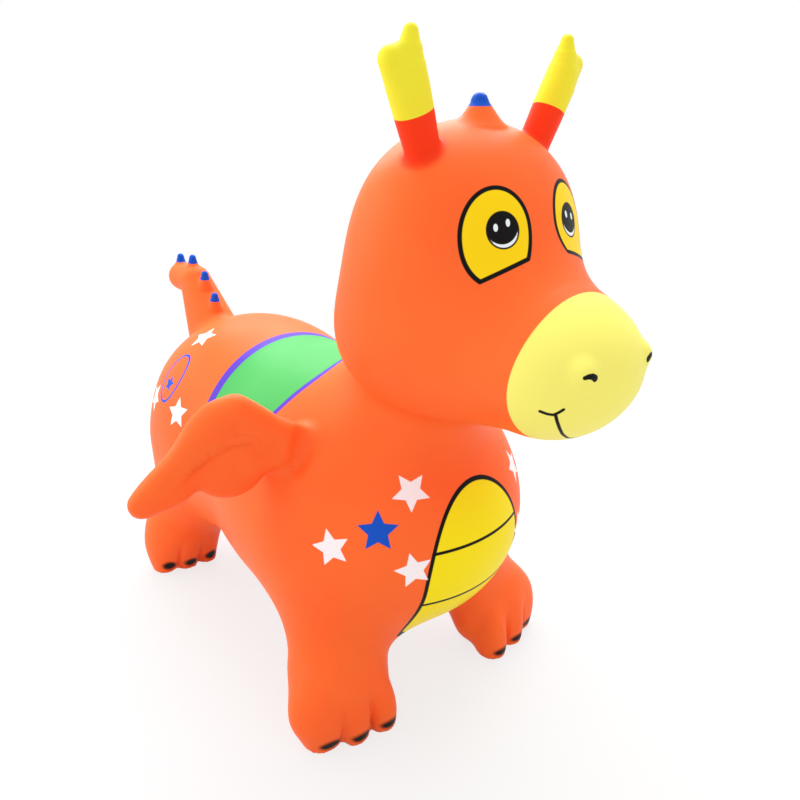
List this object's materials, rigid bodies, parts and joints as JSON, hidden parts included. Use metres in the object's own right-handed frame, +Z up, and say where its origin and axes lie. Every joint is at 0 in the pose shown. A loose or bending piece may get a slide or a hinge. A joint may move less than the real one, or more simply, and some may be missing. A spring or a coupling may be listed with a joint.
{
  "type": "inflatable ride-on dragon",
  "caption": "Inflatable soft-PVC ride-on dragon with a saddle-backed body, stout legs, small wings, forked horns, a spiked tail and a plugged air valve.",
  "frame": {"origin": "middle of the part's length and width, on the plane that its soles stand on", "axes": "+X forward to the nose, +Y to the dragon's left, +Z up"},
  "size_m": [0.5642, 0.3958, 0.4873],
  "materials": {
    "skin": "satin",
    "muzzle": "satin",
    "horn_root": "satin",
    "horn_tip": "satin",
    "spikes": "satin",
    "valve": "matte"
  },
  "bodies": {
    "feet": {"fore_left_foot": "skin", "fore_right_foot": "skin", "hind_left_foot": "skin", "hind_right_foot": "skin", "fore_left_leg": "skin", "fore_right_leg": "skin", "hind_left_leg": "skin", "hind_right_leg": "skin"},
    "torso": {"body_shell": "skin", "neck_ring": "skin", "wing_left_root": "skin", "wing_right_root": "skin", "tail_ring": "skin", "valve_seat": "valve"},
    "head": {"head_shell": "skin", "muzzle": "muzzle", "crest_spike": "spikes", "horn_left_root": "horn_root", "horn_right_root": "horn_root"},
    "wing_left": {"wing_left": "skin"},
    "wing_right": {"wing_right": "skin"},
    "tail": {"tail": "skin", "tail_spike_1": "spikes", "tail_spike_2": "spikes", "tail_spike_3": "spikes", "tail_spike_4": "spikes"},
    "horn_left": {"horn_left_tip": "horn_tip"},
    "horn_right": {"horn_right_tip": "horn_tip"},
    "plug": {"valve_plug": "valve"}
  },
  "joints": [
    {"name": "bounce", "type": "slide", "parent": "feet", "child": "torso", "axis": [0, 0, 1], "range_m": [-0.018, 0], "stiffness_N_per_m": 6000, "springref_m": 0.003, "deforming": ["fore_left_leg", "fore_right_leg", "hind_left_leg", "hind_right_leg"]},
    {"name": "head_nod", "type": "hinge", "parent": "torso", "child": "head", "pos_m": [0.1235, 0, 0.25], "axis": [0, 1, 0], "range_deg": [-5, 6], "stiffness_Nm_per_rad": 60, "springref_deg": -0.17, "deforming": ["neck_ring"]},
    {"name": "wing_left_flap", "type": "hinge", "parent": "torso", "child": "wing_left", "pos_m": [0.0687, 0.1116, 0.2295], "axis": [0.9461, 0.324, 0], "range_deg": [-12, 20], "stiffness_Nm_per_rad": 1.5, "springref_deg": 0.57, "deforming": ["wing_left_root"]},
    {"name": "wing_right_flap", "type": "hinge", "parent": "torso", "child": "wing_right", "pos_m": [0.0687, -0.1116, 0.2295], "axis": [-0.9461, 0.324, 0], "range_deg": [-12, 20], "stiffness_Nm_per_rad": 1.5, "springref_deg": 0.57, "deforming": ["wing_right_root"]},
    {"name": "tail_bend", "type": "hinge", "parent": "torso", "child": "tail", "pos_m": [-0.2127, 0, 0.2318], "axis": [0, 1, 0], "range_deg": [-12, 12], "stiffness_Nm_per_rad": 2, "springref_deg": 0.57, "deforming": ["tail_ring"]},
    {"name": "horn_left_bend", "type": "hinge", "parent": "head", "child": "horn_left", "pos_m": [0.1681, 0.0552, 0.4389], "axis": [0, 1, 0], "range_deg": [-12, 12], "stiffness_Nm_per_rad": 0.6, "deforming": ["horn_left_root"]},
    {"name": "horn_right_bend", "type": "hinge", "parent": "head", "child": "horn_right", "pos_m": [0.1681, -0.0552, 0.4389], "axis": [0, 1, 0], "range_deg": [-12, 12], "stiffness_Nm_per_rad": 0.6, "deforming": ["horn_right_root"]},
    {"name": "plug_pull", "type": "slide", "parent": "torso", "child": "plug", "axis": [0, 0, -1], "range_m": [0, 0.02]}
  ]
}
